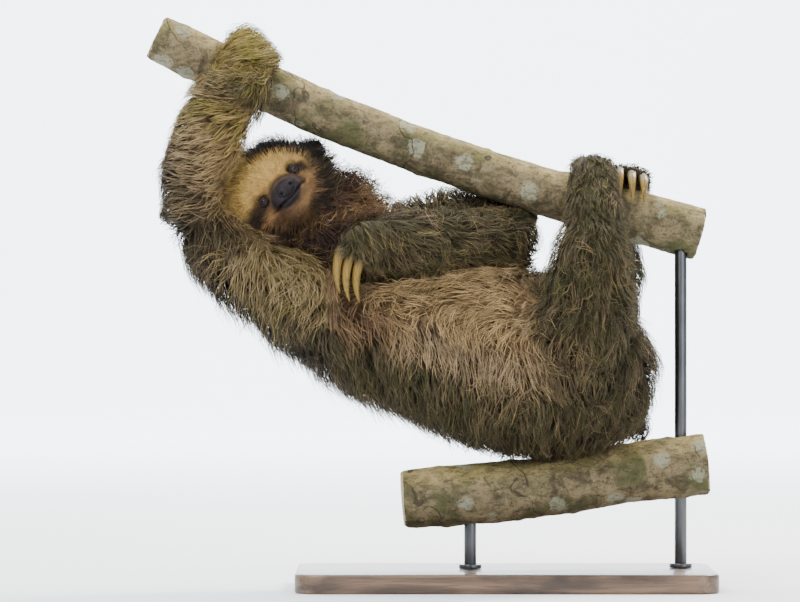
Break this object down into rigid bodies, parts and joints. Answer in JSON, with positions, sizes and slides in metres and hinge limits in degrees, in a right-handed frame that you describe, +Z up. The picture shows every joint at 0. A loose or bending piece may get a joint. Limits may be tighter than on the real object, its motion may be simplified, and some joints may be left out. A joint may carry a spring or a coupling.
{
  "type": "three-toed sloth",
  "caption": "Life-size still model of a three-toed sloth, reclining between two cut branches on a plain display stand.",
  "frame": {"origin": "centre of the underside of the stand's flat base", "axes": "+Z up; the animal faces -Y, with its head towards -X and its rump towards +X"},
  "size_m": [0.6534, 0.27, 0.6579],
  "materials": {
    "coat_fur": "long coarse shaggy hair, brown to tan with a green cast of algae, in thin wavy locks",
    "face_fur": "short dense hair, yellow-tan on the forehead and dark brown through the eye stripes",
    "muzzle_fur": "very short dark hair over bare dark skin round the mouth",
    "nose_skin": "dark moist leathery skin with fine pores",
    "eye": "wet, glossy, dark brown",
    "claw": "horn, satin, yellow-brown with lengthwise streaks and darker roots",
    "bark": "thin mottled bark with pale lichen and moss patches",
    "stand_wood": "dark stained wood, satin",
    "stand_steel": "black satin"
  },
  "bodies": {
    "root": {"belly": "coat_fur", "chest": "coat_fur", "claw_foot_left_1": "claw", "claw_foot_left_2": "claw", "claw_foot_left_3": "claw", "claw_foot_right_1": "claw", "claw_foot_right_2": "claw", "claw_foot_right_3": "claw", "claw_hand_left_1": "claw", "claw_hand_left_2": "claw", "claw_hand_left_3": "claw", "claw_hand_right_1": "claw", "claw_hand_right_2": "claw", "claw_hand_right_3": "claw", "ear_left": "coat_fur", "ear_right": "coat_fur", "eye_left": "eye", "eye_right": "eye", "foot_left": "coat_fur", "foot_right": "coat_fur", "forearm_left": "coat_fur", "forearm_right": "coat_fur", "hand_left": "coat_fur", "hand_right": "coat_fur", "head": "face_fur", "jaw": "muzzle_fur", "muzzle": "muzzle_fur", "neck": "coat_fur", "nose": "nose_skin", "perch_lower": "bark", "perch_upper": "bark", "rump": "coat_fur", "shank_left": "coat_fur", "shank_right": "coat_fur", "stand_base": "stand_wood", "stand_rod_high": "stand_steel", "stand_rod_low": "stand_steel", "tail": "coat_fur", "thigh_left": "coat_fur", "thigh_right": "coat_fur", "upper_arm_left": "coat_fur", "upper_arm_right": "coat_fur"}
  },
  "joints": []
}
